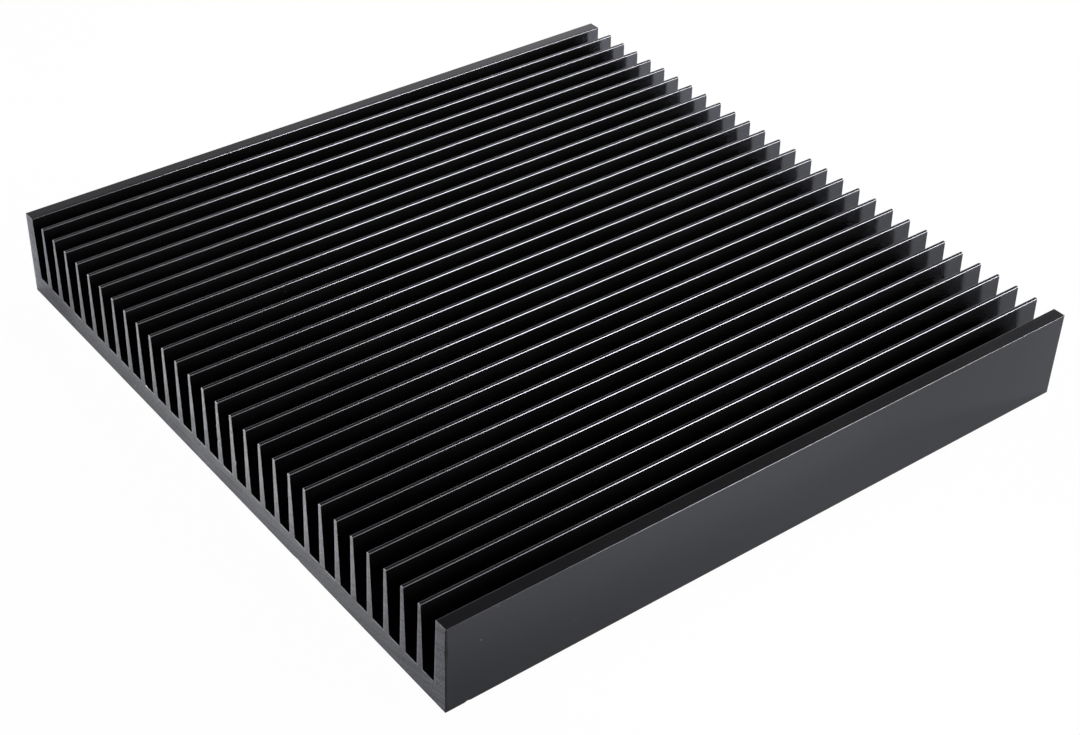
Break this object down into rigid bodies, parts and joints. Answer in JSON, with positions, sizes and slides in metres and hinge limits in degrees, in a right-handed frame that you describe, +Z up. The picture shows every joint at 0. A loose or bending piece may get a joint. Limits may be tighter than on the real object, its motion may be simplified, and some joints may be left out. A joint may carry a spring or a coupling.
{
  "type": "extruded heat sink",
  "caption": "Wide flat extruded heat sink: a thick base plate with a comb of tapered full-length cooling fins between two heavier side fins, black anodised, with bare sawn ends.",
  "frame": {"origin": "middle of the flat underside, which is the face that the heat source is bolted or bonded to", "axes": "+Z up along the fins' height, +Y along the fins and slots, +X across them"},
  "size_m": [0.3, 0.3, 0.0385],
  "materials": {
    "anodised_aluminium": "satin black anodised along the bar, bare grey sawn metal on both ends"
  },
  "bodies": {
    "root": {"heat_sink": "anodised_aluminium"}
  },
  "joints": []
}
